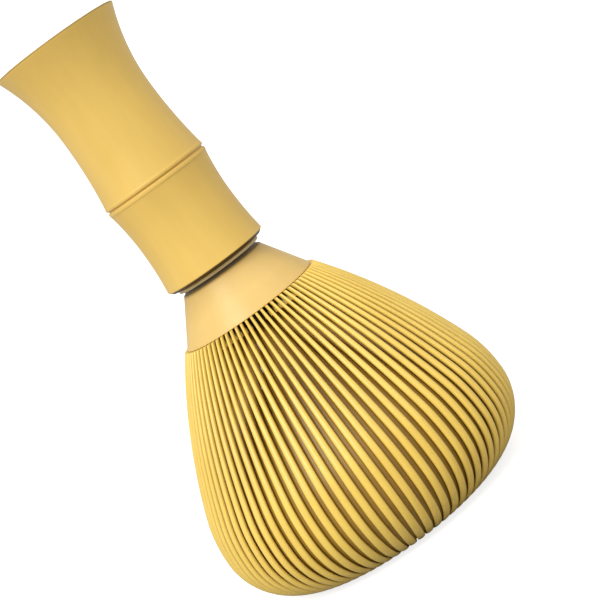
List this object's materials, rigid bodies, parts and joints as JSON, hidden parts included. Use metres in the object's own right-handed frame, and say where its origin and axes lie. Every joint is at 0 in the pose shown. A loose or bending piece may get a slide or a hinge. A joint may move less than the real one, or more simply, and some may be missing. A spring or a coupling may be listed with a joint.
{
  "type": "tea whisk",
  "caption": "Tea whisk with a waisted, culm-shaped handle that pulls off a conical collar, and a bell of curved tines with a second ring of tines close inside it.",
  "frame": {"origin": "on the axis, level with the lowest point of the outer tines, which the whisk stands on", "axes": "+Z along the axis, from the tines to the open end of the handle; the whisk is round about Z"},
  "size_m": [0.065, 0.065, 0.112],
  "materials": {
    "handle_resin": "satin bamboo-coloured resin",
    "liner_resin": "plain moulded resin",
    "ring_resin": "satin khaki resin",
    "stem_resin": "plain moulded resin",
    "seal_rubber": "black nitrile rubber",
    "collar_resin": "satin bamboo-coloured resin",
    "tine_resin": "satin bamboo-coloured resin",
    "inner_tine_resin": "satin brown resin"
  },
  "bodies": {
    "head": {"outer_tines": "tine_resin", "inner_tines": "inner_tine_resin", "collar": "collar_resin", "joint_ring": "ring_resin", "stem": "stem_resin", "stem_o_ring": "seal_rubber"},
    "grip": {"handle": "handle_resin", "handle_liner": "liner_resin"}
  },
  "joints": [
    {"name": "handle_pull", "type": "slide", "parent": "head", "child": "grip", "axis": [0, 0, 1], "range_m": [0, 0.022]}
  ]
}
